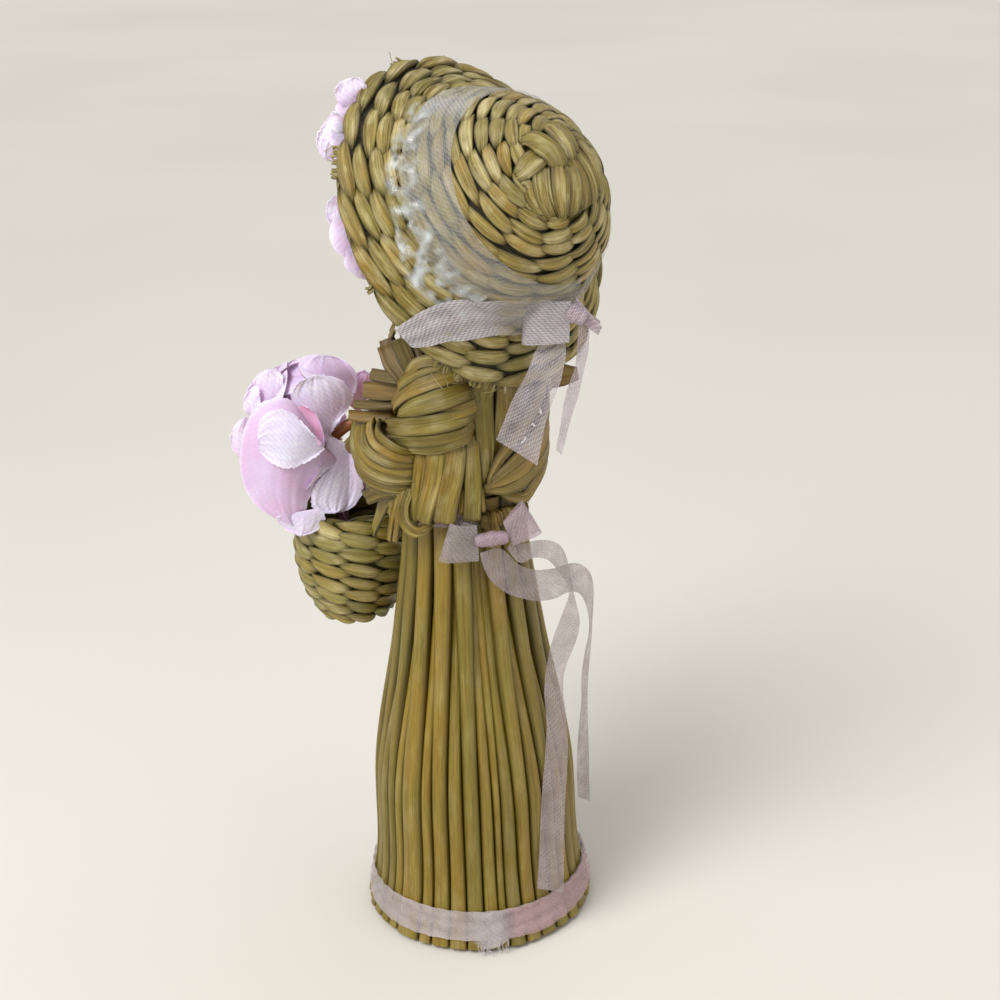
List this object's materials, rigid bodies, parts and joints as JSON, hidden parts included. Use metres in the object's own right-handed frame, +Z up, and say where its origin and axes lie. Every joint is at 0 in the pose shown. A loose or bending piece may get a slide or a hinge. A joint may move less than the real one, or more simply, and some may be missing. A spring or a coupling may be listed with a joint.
{
  "type": "woven straw doll",
  "caption": "Standing woven straw doll with a fluted stem skirt, wrapped bodice, twined bonnet, ribbon bows and a twined basket of cloth flowers.",
  "frame": {"origin": "on the floor, under the middle of the skirt's base", "axes": "+Z up along the standing doll; the doll faces -Y, its left side is +X and its bows are at +Y"},
  "size_m": [0.0659, 0.0792, 0.1812],
  "materials": {
    "stem": "smooth dried rush stem, satin",
    "straw": "flat dried rush strand with fine lengthwise ribs, satin",
    "straw_core": "bundled straw in shadow",
    "reed": "smooth round reed, semi gloss",
    "ribbon": "sheer woven ribbon",
    "petal": "shimmering woven cloth petals",
    "head": "plain turned ball, satin"
  },
  "bodies": {
    "root": {"skirt_stem_01": "stem", "skirt_stem_02": "stem", "skirt_stem_03": "stem", "skirt_stem_04": "stem", "skirt_stem_05": "stem", "skirt_stem_06": "stem", "skirt_stem_07": "stem", "skirt_stem_08": "stem", "skirt_stem_09": "stem", "skirt_stem_10": "stem", "skirt_stem_11": "stem", "skirt_stem_12": "stem", "skirt_stem_13": "stem", "skirt_stem_14": "stem", "skirt_stem_15": "stem", "skirt_stem_16": "stem", "skirt_stem_17": "stem", "skirt_stem_18": "stem", "skirt_stem_19": "stem", "skirt_stem_20": "stem", "skirt_stem_21": "stem", "skirt_stem_22": "stem", "skirt_stem_23": "stem", "skirt_stem_24": "stem", "skirt_stem_25": "stem", "skirt_stem_26": "stem", "skirt_stem_27": "stem", "skirt_stem_28": "stem", "skirt_stem_29": "stem", "skirt_stem_30": "stem", "skirt_stem_31": "stem", "skirt_stem_32": "stem", "bonnet_crown": "straw", "bonnet_brim": "straw", "sleeve_left": "straw", "back_strands": "straw", "wrap_right": "straw", "arm_left": "straw", "arm_right": "straw", "peplum_left": "straw", "peplum_side": "straw", "peplum_right": "straw", "bodice_front": "straw", "collar_left": "straw", "collar_right": "straw", "basket_body": "straw", "skirt_core": "straw_core", "torso_core": "straw_core", "peplum_back": "straw_core", "hem_ribbon": "ribbon", "waist_tie": "ribbon", "waist_bow": "ribbon", "bonnet_band": "ribbon", "bonnet_bow": "ribbon", "basket_flower_front": "petal", "basket_flower_back": "petal", "brim_flower_upper": "petal", "brim_flower_lower": "petal", "basket_handle": "reed", "head": "head"}
  },
  "joints": []
}
